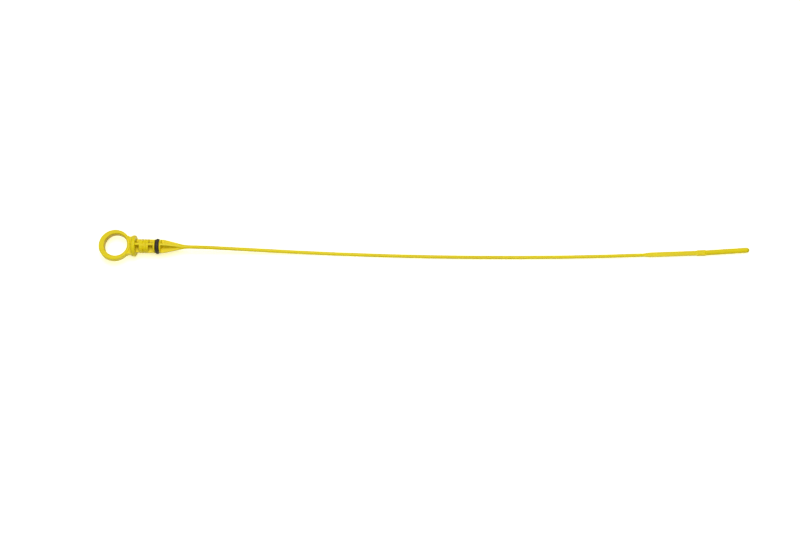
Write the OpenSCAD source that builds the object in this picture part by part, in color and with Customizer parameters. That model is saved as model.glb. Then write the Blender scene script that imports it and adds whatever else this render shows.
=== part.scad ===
// Engine oil dipstick, moulded in one piece, with a rubber sealing ring on its plug
// The plug's axis is +X, towards the tip, and the finger ring lies in the XY plane
// The origin is the centre of the collar's seat, the face that stops on the guide tube's mouth

/* [Finger ring] */
// Outer diameter of the finger ring
ring_od = 31.7; // [31:0.1:38]
// Diameter of the finger hole
ring_id = 22.8; // [18:0.2:23]
// How much nearer the collar the finger hole lies than the ring's own centre
hole_shift = 1.2; // [0:0.1:1.3]
// Thickness of the ring, across its plane
ring_h = 7.2; // [5.6:0.2:10]
// Radius of the ring's rounded edges
ring_edge = 1.2; // [0.4:0.1:2]
// Distance from the collar's seat to the centre of the finger hole
ring_reach = 20.4; // [20:0.2:30]
// Thickness of the web that joins the ring to the collar
web_h = 5.4; // [3:0.2:6]
// Width of the web at its waist
web_w = 18; // [10:0.2:19]
// Radius of the scoops that make the waist
web_scoop = 3; // [2:0.1:4]

/* [Collar] */
// Diameter of the collar that stops on the guide tube
collar_d = 21.4; // [20:0.2:26]
// Thickness of the collar
collar_t = 4.1; // [3.4:0.1:6]
// Radius of the collar's edge on the ring side
collar_edge = 1.7; // [0.4:0.1:2]
// Radius of the collar's edge on the seat side
seat_edge = 1.6; // [0.2:0.1:2]

/* [Plug] */
// Diameter of the plug's drum and discs, which enter the guide tube
plug_d = 13.9; // [12.5:0.1:15]
// Length of the pocket between the collar and the drum
first_pocket = 3.7; // [2:0.1:6]
// Length of the drum
drum_len = 9; // [7:0.1:14]
// Distance from the start of the drum to its groove
groove_at = 3.3; // [2:0.1:5]
// Width of the groove round the drum
groove_w = 1; // [0.5:0.1:1.6]
// Depth of the groove round the drum
groove_deep = 1; // [0.3:0.1:1.4]
// Distance from the start of the drum to the fine line round it
line_at = 6.3; // [6:0.1:8]
// Width and depth of the fine line
line_size = 0.4; // [0.2:0.1:0.6]
// Length of the pocket between the drum and the seal
second_pocket = 4.8; // [2:0.1:8]
// Thickness of the two discs that hold the seal
gland_wall = 1.5; // [1:0.1:3]
// Thickness of the upright rib and of the flat rib that cross in the pockets
rib_t = 2; // [1.4:0.1:2.6]
// Diameter of the core where the ribs cross
core_d = 3.5; // [3:0.1:4.5]

/* [Sealing ring] */
// Diameter of the rubber's round section
seal_cord = 3.8; // [2.6:0.1:4]
// Diameter of the groove floor that the seal sits on
seal_floor_d = 8; // [7:0.1:9]
// Free width left beside the seal in its groove
seal_play = 0.7; // [0.3:0.1:1.4]
// Clearance between the seal and its groove floor
seal_gap = 0.03; // [0.01:0.01:0.1]

/* [Taper] */
// Length of the straight stretch of ribs beside the front disc
taper_start = 2.2; // [1:0.1:5]
// Half angle of the tapering ribs, in degrees
taper_angle = 13.6; // [11:0.1:18]
// Radius of the convex shoulder at the wide end
shoulder_r = 20; // [8:1:30]
// Radius of the hollow blend into the rod
blend_r = 36; // [15:1:45]

/* [Rod] */
// Diameter of the rod where it leaves the taper
rod_d = 3.6; // [3:0.1:4.2]
// Angle at which the rod runs down to the surface it lies on, in degrees
dip_angle = 4.8; // [3.6:0.1:7]
// Length of the bend down behind the taper
dip_len = 30; // [20:1:60]
// Length of the bend back to level
level_len = 60; // [30:1:90]
// Sideways turn of the bend down, in degrees
dip_swing = -0.4; // [-1:0.1:1]
// Sideways turn of the bend back to level, in degrees
level_swing = -0.9; // [-2:0.1:1]
// Length of the long slack bow
bow_len = 180; // [120:5:220]
// Sideways turn of the long slack bow, in degrees
bow_swing = 2.6; // [1:0.1:4]
// Length of the last bow before the blade
end_bow_len = 121.5; // [80:0.5:160]
// Sideways turn of the last bow, in degrees
end_bow_swing = 2; // [0.5:0.1:4]

/* [Blade] */
// Width at which the blade starts, inside the rod
blade_root = 2.5; // [1.6:0.1:3]
// Length over which the rod flattens into the blade
flare_len = 9; // [7:0.5:16]
// Length of the reading flat, between the flare and the ears
flat_len = 46.5; // [30:0.5:60]
// Width of the reading flat
flat_w = 4.4; // [4:0.1:4.8]
// Thickness of the reading flat
flat_t = 2.2; // [1.6:0.1:2.6]
// Length of the ears that mark the lower level
ear_len = 9; // [6:0.5:14]
// Width across the ears
ear_w = 5.3; // [5:0.1:6]
// Thickness of the ears
ear_t = 2.8; // [2.2:0.1:3.4]
// Diameter of the round end
end_d = 5.2; // [4.6:0.1:5.6]
// Length of the cone that leads from the ears to the round end
end_cone = 1.6; // [1:0.1:3]
// Length of the round end
end_len = 44.5; // [30:0.5:60]
// Length of the rounded nose
nose_len = 3.6; // [2:0.2:8]
// Sideways turn of the round end at the ears, in degrees
end_swing = 1.7; // [0:0.1:3]

/* [Hidden] */
$fn = 96;
// A bend of the rod turns only a few degrees, so it needs a fine division of the whole circle
bend_fn = 360;
rod_fn = 72;
arc_steps = 8;

// How far a piece runs into its neighbour where the two are joined inside the material
bite = 0.5;
// How far a cutter runs past the faces that it cuts
cut = 1;
// How far a round piece stays below the flat faces that it ends under
sunk = 0.2;
// How much wider the bed in the ring is than the rounded rim of the hole that lies in it
bed_margin = 0.3;

ring_r = ring_od / 2;
hole_r = ring_id / 2;
bed_r = hole_r + ring_edge + bed_margin;
collar_r = collar_d / 2;
plug_r = plug_d / 2;
core_r = core_d / 2;
rod_r = rod_d / 2;
end_r = end_d / 2;

// Places along the plug's axis
drum_x = first_pocket;
groove_x = drum_x + groove_at;
line_x = drum_x + line_at;
back_disc_x = drum_x + drum_len + second_pocket;
seal_groove_x = back_disc_x + gland_wall;
seal_groove_w = seal_cord + seal_play;
front_disc_x = seal_groove_x + seal_groove_w;
ribs_x = front_disc_x + gland_wall;
seal_x = seal_groove_x + seal_groove_w / 2;

// Corners of the taper before they are rounded, and where the roundings touch it
shoulder_x = ribs_x + taper_start;
blend_x = shoulder_x + (plug_r - rod_r) / tan(taper_angle);
shoulder_reach = shoulder_r * tan(taper_angle / 2);
blend_reach = blend_r * tan(taper_angle / 2);
rod_x = blend_x + blend_reach;

// The rod thins a little from stretch to stretch, and each stretch starts inside the one before it
hair = 0.02;
lap = 0.3;
function stretch_r(i) = rod_r - (i + 1) * hair;

// The rod comes down until it lies level with the collar's rim
bend_drop = (dip_len + level_len) * (1 - cos(dip_angle)) / (dip_angle * PI / 180);
slope_len = (collar_r - stretch_r(3) - bend_drop) / sin(dip_angle);
// The round end is thicker than the rod, so the rod rises to it from where it first touches
end_run = bow_len + end_bow_len + flare_len + flat_len + ear_len;
end_lift = atan((end_r - stretch_r(3)) / end_run);

// Each stretch of the rod is its length, its turn downwards and its turn sideways, in degrees
stretches = [
    [dip_len, dip_angle, dip_swing],
    [slope_len, 0, 0],
    [level_len, -dip_angle - end_lift, level_swing],
    [bow_len, 0, bow_swing],
    [end_bow_len, 0, end_bow_swing]
];

// Points along an arc, from one angle to another
function arc(centre, radius, from, to) =
    [for (i = [0:arc_steps])
        let (angle = from + (to - from) * i / arc_steps)
        centre + radius * [cos(angle), sin(angle)]];

// Turns a profile drawn as radius and distance about the plug's axis
module turned() {
    rotate([0, 90, 0]) rotate_extrude() children();
}

// The finger hole isn't quite in the middle, so the ring is thickest at its far end
module finger_ring() {
    translate([-ring_reach, 0, 0]) {
        difference() {
            translate([-hole_shift, 0, 0]) rotate_extrude() rim_profile(0, ring_r - ring_edge);
            cylinder(r = bed_r, h = ring_h + 2 * cut, center = true);
        }
        rotate_extrude() rim_profile(bed_r + bite / 2, hole_r + ring_edge);
    }
}

// Half of the ring's section, square at one radius and rounded about another
module rim_profile(square_r, round_r) {
    outwards = sign(round_r - square_r);
    translate([min(square_r, round_r), -ring_h / 2]) square([abs(round_r - square_r), ring_h]);
    translate([min(square_r, round_r + outwards * ring_edge), ring_edge - ring_h / 2])
        square([abs(round_r - square_r) + ring_edge, ring_h - 2 * ring_edge]);
    for (z = [-1, 1]) translate([round_r, z * (ring_h / 2 - ring_edge)]) circle(ring_edge);
}

// The web fills the gap between the ring and the collar, and is scooped on both sides
module ring_web() {
    ring_side = sqrt(pow(ring_r, 2) - pow(web_w / 2, 2)) - ring_reach - hole_shift;
    waist_x = (ring_side - collar_t) / 2;
    web_length = ring_reach - collar_t + bite;
    linear_extrude(web_h, center = true)
        difference() {
            translate([-ring_reach, -web_w / 2 - cut]) square([web_length, web_w + 2 * cut]);
            for (side = [-1, 1])
                translate([waist_x, side * (web_w / 2 + web_scoop)]) circle(web_scoop);
            translate([-ring_reach, 0]) circle(bed_r);
        }
}

// The outline that the collar, the plug and the taper are turned from
function plug_outline() = concat(
    [[0, -collar_t]],
    arc([collar_r - collar_edge, collar_edge - collar_t], collar_edge, -90, 0),
    arc([collar_r - seat_edge, -seat_edge], seat_edge, 0, 90),
    [
        [plug_r, 0],
        [plug_r, groove_x], [plug_r - groove_deep, groove_x],
        [plug_r - groove_deep, groove_x + groove_w], [plug_r, groove_x + groove_w],
        [plug_r, line_x], [plug_r - line_size, line_x + line_size / 2], [plug_r, line_x + line_size],
        [plug_r, seal_groove_x], [seal_floor_d / 2, seal_groove_x],
        [seal_floor_d / 2, front_disc_x], [plug_r, front_disc_x]
    ],
    arc([plug_r - shoulder_r, shoulder_x - shoulder_reach], shoulder_r, 0, taper_angle),
    arc([rod_r + blend_r, rod_x], blend_r, 180 + taper_angle, 180),
    [[0, rod_x]]
);

// The four pockets of one stretch leave an upright and a flat rib, which cross at the core
module pockets(from, to) {
    depth = plug_r + cut;
    for (y = [0, 1], z = [0, 1])
        mirror([0, y, 0]) mirror([0, 0, z])
            translate([from, rib_t / 2, rib_t / 2]) cube([to - from, depth, depth]);
}

// The core swells at the narrow end of the taper, so that the pockets run out there
module core() {
    swell_x = blend_x - 2 * blend_reach;
    turned()
        polygon([
            [0, 0], [core_r, 0], [core_r, swell_x],
            [core_r + (rod_x - swell_x) * tan(taper_angle), rod_x], [0, rod_x]
        ]);
}

module plug() {
    difference() {
        turned() polygon(plug_outline());
        difference() {
            union() {
                pockets(0, drum_x);
                pockets(drum_x + drum_len, back_disc_x);
                pockets(ribs_x, rod_x);
            }
            core();
        }
    }
}

// One stretch of rod, bent to a true arc, with whatever follows it placed at its end
module stretch(length, down, sideways, r) {
    turn = norm([down, sideways]);
    lean = atan2(sideways, -down);
    if (turn > 0) {
        bend_r = length * 180 / (PI * turn);
        lap_turn = lap * 180 / (PI * bend_r);
        rotate([-lean, 0, 0]) translate([0, 0, bend_r]) {
            rotate([90, 0, 0]) rotate([0, 0, -90 - lap_turn])
                rotate_extrude(angle = turn + lap_turn, $fn = bend_fn) translate([bend_r, 0]) circle(r, $fn = rod_fn);
            rotate([0, -turn, 0]) translate([0, 0, -bend_r]) rotate([lean, 0, 0]) children();
        }
    } else {
        translate([-lap, 0, 0]) rotate([0, 90, 0]) cylinder(r = r, h = length + lap);
        translate([length, 0, 0]) children();
    }
}

// Draws every stretch from the given one on, and puts the children at the far end
module run(from = 0) {
    stretch(stretches[from][0], stretches[from][1], stretches[from][2], stretch_r(from))
        if (from + 1 < len(stretches)) run(from + 1) children();
        else children();
}

// The rod thins to a point inside the flat, while the flat widens out of it
module flare() {
    translate([-lap, 0, 0])
        rotate([0, 90, 0])
            cylinder(r1 = stretch_r(len(stretches)), r2 = flat_t / 2 - sunk, h = flare_len + lap);
}

module reading_blade() {
    blade_len = flare_len + flat_len + ear_len;
    ear_x = flare_len + flat_len;
    ramp = (ear_w - flat_w) / 2;
    plan = [
        [bite, blade_root / 2], [flare_len, flat_w / 2], [ear_x - ramp, flat_w / 2],
        [ear_x + ramp, ear_w / 2], [blade_len, ear_w / 2]
    ];
    side = [
        [0, flat_t / 2], [ear_x - ramp, flat_t / 2], [ear_x + ramp, ear_t / 2], [blade_len + cut, ear_t / 2]
    ];
    intersection() {
        linear_extrude(rod_d, center = true) both_sides(plan);
        rotate([90, 0, 0]) linear_extrude(ear_w + cut, center = true) both_sides(side);
    }
}

// Closes a half outline with its mirror image
module both_sides(points) {
    last = len(points) - 1;
    polygon(concat(points, [for (i = [last:-1:0]) [points[i].x, -points[i].y]]));
}

// The round end, with a short cone where it grows out of the ears
module round_end() {
    turned()
        polygon(concat(
            [[0, -end_cone], [ear_t / 2 - sunk, -end_cone], [end_r, 0]],
            [for (i = [0:arc_steps - 1])
                let (t = 90 * i / arc_steps)
                [end_r * cos(t), end_len - nose_len * (1 - sin(t))]],
            [[0, end_len]]
        ));
}

module dipstick_body() {
    color("gold") union() {
        finger_ring();
        ring_web();
        plug();
        translate([rod_x, 0, 0]) run() {
            flare();
            reading_blade();
            translate([flare_len + flat_len + ear_len, 0, 0]) rotate([0, 0, end_swing]) round_end();
        }
    }
}

// The seal rests on its groove floor, in the middle of the groove
module sealing_ring() {
    color("black")
        translate([seal_x, 0, 0])
            turned() translate([seal_floor_d / 2 + seal_gap + seal_cord / 2, 0]) circle(seal_cord / 2);
}

dipstick_body();
sealing_ring();
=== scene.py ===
# %% [markdown]
# An engine oil dipstick, ready to be photographed
#
# The real thing is one long moulding in yellow plastic: a finger ring, a collar that stops on the
# guide tube, a ribbed plug and a thin rod with a flat blade near its end. One rubber ring sits on
# the plug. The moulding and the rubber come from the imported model, already in their places and at
# their true size, so this script gives them their finish, their light and their view.

# %% Load the part
import math
import bpy
from mathutils import Matrix, Vector


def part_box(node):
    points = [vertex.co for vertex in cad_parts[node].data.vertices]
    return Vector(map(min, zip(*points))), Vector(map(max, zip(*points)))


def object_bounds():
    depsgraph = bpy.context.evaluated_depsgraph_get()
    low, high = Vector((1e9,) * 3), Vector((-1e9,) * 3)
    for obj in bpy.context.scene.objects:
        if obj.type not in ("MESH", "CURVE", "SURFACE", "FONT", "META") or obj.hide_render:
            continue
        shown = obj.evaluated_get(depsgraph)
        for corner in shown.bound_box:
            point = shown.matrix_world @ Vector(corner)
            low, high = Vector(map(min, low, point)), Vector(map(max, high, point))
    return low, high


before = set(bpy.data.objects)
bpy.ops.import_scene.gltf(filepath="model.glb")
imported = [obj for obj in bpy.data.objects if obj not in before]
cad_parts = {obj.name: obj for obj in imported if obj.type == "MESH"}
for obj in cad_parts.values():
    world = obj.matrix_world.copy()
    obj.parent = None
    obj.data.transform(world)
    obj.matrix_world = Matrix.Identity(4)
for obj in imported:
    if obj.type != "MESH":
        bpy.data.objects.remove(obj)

MM = 0.001
cad_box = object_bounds()
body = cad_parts["dipstick_body"]
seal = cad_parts["sealing_ring"]
print("the part measures", [round((high - low) / MM, 1) for low, high in zip(*cad_box)], "mm")

# %% [markdown]
# The camera
#
# A dipstick is far longer than it is wide, so a photographer stands almost over it and shows it from
# end to end. The camera could be pointed at the middle of the part, but then a small change of the
# rod would move the whole picture. Here it hangs from the seat of the collar instead: the seat's
# distance and its place in the picture are known, and the camera's place is worked out from them.

# %% Camera
PHOTO_WIDTH = 800
PHOTO_HEIGHT = 533
FOCAL_PIXELS = 1230
SEAT_PIXEL = (136.55, 245.95)
SEAT_DISTANCE = 1.230
LOOK_DOWN = math.radians(71.5)
LOOK_TURN = math.radians(1.17)
SENSOR_MM = 36

right = Vector((math.cos(LOOK_TURN), math.sin(LOOK_TURN), 0))
level = Vector((-math.sin(LOOK_TURN), math.cos(LOOK_TURN), 0))
forward = level * math.cos(LOOK_DOWN) - Vector((0, 0, math.sin(LOOK_DOWN)))
up = right.cross(forward)
metres_per_pixel = SEAT_DISTANCE / FOCAL_PIXELS
seat_right = (SEAT_PIXEL[0] - PHOTO_WIDTH / 2) * metres_per_pixel
seat_up = (PHOTO_HEIGHT / 2 - SEAT_PIXEL[1]) * metres_per_pixel

camera = bpy.data.objects.new("camera", bpy.data.cameras.new("camera"))
camera.data.sensor_width = SENSOR_MM
camera.data.lens = FOCAL_PIXELS / PHOTO_WIDTH * SENSOR_MM
camera.location = -(forward * SEAT_DISTANCE + right * seat_right + up * seat_up)
camera.rotation_euler = Matrix((right, up, -forward)).transposed().to_euler()
bpy.context.scene.collection.objects.link(camera)
bpy.context.scene.camera = camera
print("the camera is at", [round(v, 3) for v in camera.location], "m")
print("its lens is", round(camera.data.lens, 1), "mm")

# %% [markdown]
# Shader maths that reads like maths
#
# A finish is made of masks: where the parting line runs, how deep in a hollow a point lies, where
# shade is painted. Each mask is a short sum, and a sum is easier to read as a line of Python than as
# a chain of nodes. The class below wraps a socket, so that a + b or 1 - a adds the right Math node.
# Every other node comes from one method, which sets the node up first and then fills its sockets.

# %% A socket that can be added and multiplied
class Signal:
    def __init__(self, nodes, socket):
        self.nodes = nodes
        self.socket = socket

    def math(self, operation, *others, flip=False):
        values = (*others, self) if flip else (self, *others)
        return self.nodes.add("ShaderNodeMath", {"operation": operation}, dict(enumerate(values)))

    def __add__(self, other):
        return self.math("ADD", other)

    __radd__ = __add__

    def __mul__(self, other):
        return self.math("MULTIPLY", other)

    __rmul__ = __mul__

    def __sub__(self, other):
        return self.math("SUBTRACT", other)

    def __rsub__(self, other):
        return self.math("SUBTRACT", other, flip=True)

    def __truediv__(self, other):
        return self.math("DIVIDE", other)

    def between(self, low, high):
        """The value itself, held inside the two limits."""
        return self.math("MAXIMUM", low).math("MINIMUM", high)

    def above(self, low, high):
        """0 up to low, 1 from high, and a soft slope between them."""
        settings = {"interpolation_type": "SMOOTHSTEP"}
        sockets = {"Value": self, "From Min": low, "From Max": high}
        return self.nodes.add("ShaderNodeMapRange", settings, sockets)

    def near(self, centre, reach):
        """1 at the centre, fading to 0 at the reach on both sides."""
        return 1 - (self - centre).math("ABSOLUTE").above(0, reach)


def distance(across, along):
    """How far a point lies from a line, from its two distances square to each other."""
    return (across * across + along * along).math("SQRT")


# %% A tree that adds its own nodes
# A Mix node has a set of sockets for each kind of data, and these are the ones for colours
MIX_FACTOR, MIX_FIRST, MIX_SECOND = 0, 6, 7
MIX_RESULT = 2


class Nodes:
    def __init__(self, tree):
        self.tree = tree

    def add(self, kind, settings=None, sockets=None, output=0):
        node = self.tree.nodes.new(kind)
        for name, value in (settings or {}).items():
            setattr(node, name, value)
        for name, value in (sockets or {}).items():
            self.fill(node.inputs[name], value)
        return Signal(self, node.outputs[output])

    def fill(self, socket, value):
        if isinstance(value, Signal):
            self.tree.links.new(value.socket, socket)
        else:
            socket.default_value = value

    def blend(self, mask, first, second):
        """The first colour where the mask is 0 and the second where it is 1."""
        settings = {"data_type": "RGBA"}
        sockets = {MIX_FACTOR: mask, MIX_FIRST: first, MIX_SECOND: second}
        return self.add("ShaderNodeMix", settings, sockets, output=MIX_RESULT)

    def seen(self):
        """1 for what the camera sees, also in a mirror or through glass, and 0 for light it gives."""
        straight = self.add("ShaderNodeLightPath", output="Is Camera Ray")
        mirrored = self.add("ShaderNodeLightPath", output="Is Glossy Ray")
        through_glass = self.add("ShaderNodeLightPath", output="Is Transmission Ray")
        return (straight + mirrored + through_glass).between(0, 1)


# %% A material, with what its finish is made of
class Finish(Nodes):
    def __init__(self, name):
        self.material = bpy.data.materials.new(name)
        self.material.use_nodes = True
        super().__init__(self.material.node_tree)
        self.shader = self.tree.nodes["Principled BSDF"]

    def place(self):
        """Where a point of the surface is, in millimetres in the part's own frame."""
        point = {"Vector": self.add("ShaderNodeTexCoord", output="Object")}
        return [self.add("ShaderNodeSeparateXYZ", sockets=point, output=axis) / MM for axis in "XYZ"]

    def speckle(self, size_mm, stretch=1.0, detail=2.0):
        """Soft random patches of about that size, drawn out along the part by the stretch."""
        point = self.add("ShaderNodeTexCoord", output="Object")
        per_metre = 1 / (size_mm * MM)
        scale = (per_metre / stretch, per_metre, per_metre)
        scaled = self.add("ShaderNodeVectorMath", {"operation": "MULTIPLY"}, {0: point, 1: scale})
        return self.add("ShaderNodeTexNoise", sockets={"Vector": scaled, "Scale": 1.0, "Detail": detail})

    def relief(self, height, depth_mm):
        """Bump from a height of 0 to 1, which stands for that many millimetres."""
        sockets = {"Strength": 1.0, "Distance": depth_mm * MM, "Height": height}
        return self.add("ShaderNodeBump", sockets=sockets)

    def set(self, **values):
        for name, value in values.items():
            self.fill(self.shader.inputs[name.replace("_", " ")], value)

    def paint(self, piece):
        piece.data.materials.clear()
        piece.data.materials.append(self.material)
        print(self.material.name, "has", len(self.tree.nodes), "nodes, on", piece.name)


# %% [markdown]
# Yellow plastic
#
# The moulding is dense nylon, dyed right through, with the satin gloss of the steel mould. Several
# things keep it from looking like paint. The colour drifts a little where the melt flowed. Shade is
# also painted into the colour: the wall of the finger hole and the plug's pockets are painted a
# deeper, warmer yellow, the short pockets before the seal darker still, and the nose darker, as the
# shade on the far side of its round end. The gloss is broken by a fine grain, by light scuffs and by
# hair-fine scratches along the part. A faint parting line runs round it where the two halves of the
# mould met. All this could be painted on an image, but that needs unwrapping. Here it is made from
# the surface's own place, so it stays put from every side and the parting line follows the rod down its
# bend.

# %% Places on the moulding, in millimetres
HOLE_X = -20.4
HOLE_R = 11.4
RIM = 1.1
PLUG_R = 6.95
TAPER_X = 27.2
TAPER_LENGTH = 21.3
TAPER_SLOPE = math.tan(math.radians(13.6))
POCKETS_END = 46
POCKETS_FADE = 8
POCKET_CORE = 0.3
POCKET_RIM = 0.9
SEAT_FADE = 0.5
NOSE_X = cad_box[1][0] / MM
NOSE_LENGTH = 4
SHORT_POCKETS_END = 18
ROD_X = 52.8
BEND_DOWN = 30
SLOPE = 62.3
BEND_LEVEL = 60
DIP = math.radians(4.8)
END_RISE = 0.0024
FAR = 1000
print("the rod bends down and level again over", round(BEND_DOWN + SLOPE + BEND_LEVEL, 1), "mm")


def sunk(run, length):
    """How far something has sunk, per unit of slope, when its slope grows evenly over the length."""
    bend = run.between(0, length)
    return bend * bend / (2 * length) + (run - length).between(0, FAR)


def rod_height(x):
    """The height of the rod's middle, which bends down behind the plug and then lies on the floor."""
    run = x - ROD_X
    past_slope = run - (BEND_DOWN + SLOPE)
    rise = END_RISE * (past_slope - BEND_LEVEL).between(0, FAR)
    return rise - DIP * (sunk(run, BEND_DOWN) - sunk(past_slope, BEND_LEVEL))


def in_finger_hole(x, y):
    """1 on the wall of the finger hole, and 0 on every outer face."""
    return 1 - distance(x - HOLE_X, y).above(HOLE_R, HOLE_R + RIM)


def in_pockets(x, y, z):
    """1 at the core of the plug's pockets, fading to 0 at the rims of the discs and ribs."""
    rib_r = PLUG_R - TAPER_SLOPE * (x - TAPER_X).between(0, TAPER_LENGTH)
    on_plug = x.above(0, SEAT_FADE) * (1 - x.above(POCKETS_END - POCKETS_FADE, POCKETS_END))
    return (1 - (distance(y, z) / rib_r).above(POCKET_CORE, POCKET_RIM)) * on_plug


# %% Yellow plastic
YELLOW = (0.82, 0.67, 0.004, 1)
DEEP_YELLOW = (0.72, 0.55, 0.003, 1)
# The next three colours are painted shade: in the finger hole and the pockets, at the nose, and in the
# short pockets.
HOLLOW_SHADE_YELLOW = (0.62, 0.43, 0.001, 1)
NOSE_SHADE_YELLOW = (0.40, 0.35, 0.02, 1)
POCKET_SHADE_YELLOW = (0.42, 0.32, 0.001, 1)
FLOW_SHARE = 0.45
# These three shares set how strong the painted shade is.
HOLE_SHADE_SHARE = 0.75
POCKET_SHADE_SHARE = 0.4
DARK_SHADE_SHARE = 0.6
FLOW_MM = 9
GRAIN_MM = 0.35
SCUFF_MM = 2.5
SCRATCH_MM = 0.2
PARTING_HALF = 0.12
RELIEF_DEPTH = 0.05

plastic = Finish("yellow plastic")
x, y, z = plastic.place()
flow = plastic.speckle(FLOW_MM, stretch=6)
grain = plastic.speckle(GRAIN_MM, detail=3)
scuffs = plastic.speckle(SCUFF_MM, stretch=3, detail=4)
scratches = plastic.speckle(SCRATCH_MM, stretch=30).above(0.66, 0.74)
parting = (z - rod_height(x)).near(0, PARTING_HALF)
pockets = in_pockets(x, y, z)
# Painted shade: the wall of the finger hole and the plug's pockets are painted a deeper, warmer yellow
# where shade falls.
painted_hollow_shade = (HOLE_SHADE_SHARE * in_finger_hole(x, y)).math("MAXIMUM", POCKET_SHADE_SHARE * pockets)
# Painted shade: the short pockets before the seal are painted darker still, for the shade on the ribs'
# walls.
painted_pocket_shade = DARK_SHADE_SHARE * pockets * (1 - x.above(SHORT_POCKETS_END, SHORT_POCKETS_END + 1))
# Painted shade: the nose is painted darker, as the shade on the far side of its round end.
painted_nose_shade = DARK_SHADE_SHARE * x.above(NOSE_X - NOSE_LENGTH, NOSE_X)
colour = plastic.blend(flow.above(0.35, 0.75) * FLOW_SHARE, YELLOW, DEEP_YELLOW)
colour = plastic.blend(painted_hollow_shade, colour, HOLLOW_SHADE_YELLOW)
colour = plastic.blend(painted_pocket_shade, colour, POCKET_SHADE_YELLOW)
plastic.set(
    Base_Color=plastic.blend(painted_nose_shade, colour, NOSE_SHADE_YELLOW),
    Roughness=0.24 + 0.2 * scuffs + 0.06 * grain + 0.1 * scratches,
    Specular_IOR_Level=0.18,
    Subsurface_Weight=0.08,
    Subsurface_Radius=(1.0, 0.7, 0.1),
    Subsurface_Scale=MM,
    Normal=plastic.relief(0.25 * grain + 0.2 * flow + parting - 0.15 * scratches, RELIEF_DEPTH),
)
plastic.paint(body)

# %% [markdown]
# Black rubber
#
# The seal is soft nitrile rubber. It is darker and duller than the plastic, with a trace of brown. A
# thin film of oil gives it a soft highlight, dust dulls it in patches, and a fine ridge of flash
# runs round its widest line.

# %% Black rubber
BLACK = (0.013, 0.009, 0.006, 1)
DUSTY_BLACK = (0.036, 0.025, 0.015, 1)
DUST_MM = 1.2
FLASH_HALF = 0.12
seal_x = sum(corner[0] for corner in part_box("sealing_ring")) / 2 / MM

rubber = Finish("black rubber")
x, y, z = rubber.place()
dust = rubber.speckle(DUST_MM, detail=4)
rubber.set(
    Base_Color=rubber.blend(dust.above(0.45, 0.8), BLACK, DUSTY_BLACK),
    Roughness=0.45 + 0.2 * dust,
    Specular_IOR_Level=0.3,
    Normal=rubber.relief(0.15 * dust + x.near(seal_x, FLASH_HALF), RELIEF_DEPTH),
)
rubber.paint(seal)

# %% [markdown]
# White table
#
# A product picture like this one is taken on a white table. The table reflects light onto the
# part's underside and takes a yellow glow back from it, so it is a real white surface under the
# part. Such pictures are a little overexposed, and the warm side of the light clips first. The
# camera therefore sees the table with some more red and green than blue on top of its own white.
# Where light falls freely all three are past white. In the part's shadow only blue drops below it,
# and the shadow turns into a pale yellow glow. Far from the part, where the lamps no longer reach,
# the table is plain white to the camera, so that a low view has a white background too.

# %% White table
TABLE_SIZE = 8
TABLE_WHITE = (0.97, 0.97, 0.97, 1)
NO_LIGHT = (0, 0, 0, 1)
OVEREXPOSURE = (0.62, 0.60, 0.34, 1)
FAR_WHITE = (1, 1, 1, 1)
MIDDLE_X = 290
LAMP_REACH = 450
FADE_END = 1200

bpy.ops.mesh.primitive_plane_add(size=TABLE_SIZE, location=(0, 0, cad_box[0][2]))
floor = bpy.context.active_object
floor.name = "floor"
table = Finish("white table")
x, y, z = table.place()
far = distance(x - MIDDLE_X, y).above(LAMP_REACH, FADE_END)
added_white = table.blend(far, OVEREXPOSURE, FAR_WHITE)
table.set(
    Base_Color=TABLE_WHITE,
    Roughness=0.9,
    Specular_IOR_Level=0.1,
    Emission_Color=table.blend(table.seen(), NO_LIGHT, added_white),
    Emission_Strength=1.0,
)
table.paint(floor)

# %% [markdown]
# A strong lamp behind and a weak one in front
#
# The light comes mostly from above, so the top faces are bright and every side and hollow is clearly
# deeper. A ring of lamps would flatten the crossed ribs and the pockets, which are the best part of
# this moulding. A large softbox hangs over the table a little behind the part instead. A weaker one
# in front reaches the sides that face the camera, which would turn grey against the table, and the
# room adds only a low even light. Together they light an upright face at about its own colour.

# %% World and lamps
ROOM_LEVEL = 0.13
BACKGROUND_LEVEL = 1.0
BOXES = (
    ("back softbox", 27, (0.27, 0.35, 1.95)),
    ("front softbox", 8, (0.27, -0.7, 1.7)),
)
BOX_SIZE = 1.2
BOX_AIM = (0.27, 0, 0)

world = bpy.data.worlds.new("white room")
world.use_nodes = True
bpy.context.scene.world = world
room = Nodes(world.node_tree)
background = room.tree.nodes["Background"]
room.fill(background.inputs["Color"], (1, 1, 1, 1))
room.fill(background.inputs["Strength"], ROOM_LEVEL + (BACKGROUND_LEVEL - ROOM_LEVEL) * room.seen())

for name, power, place in BOXES:
    lamp = bpy.data.lights.new(name, "AREA")
    lamp.energy = power
    lamp.size = BOX_SIZE
    softbox = bpy.data.objects.new(name, lamp)
    softbox.location = place
    softbox.rotation_euler = (Vector(BOX_AIM) - softbox.location).to_track_quat("-Z", "Y").to_euler()
    bpy.context.scene.collection.objects.link(softbox)
bpy.context.scene.view_settings.view_transform = "Standard"
print(len(BOXES), "softboxes,", BOX_SIZE, "m wide")
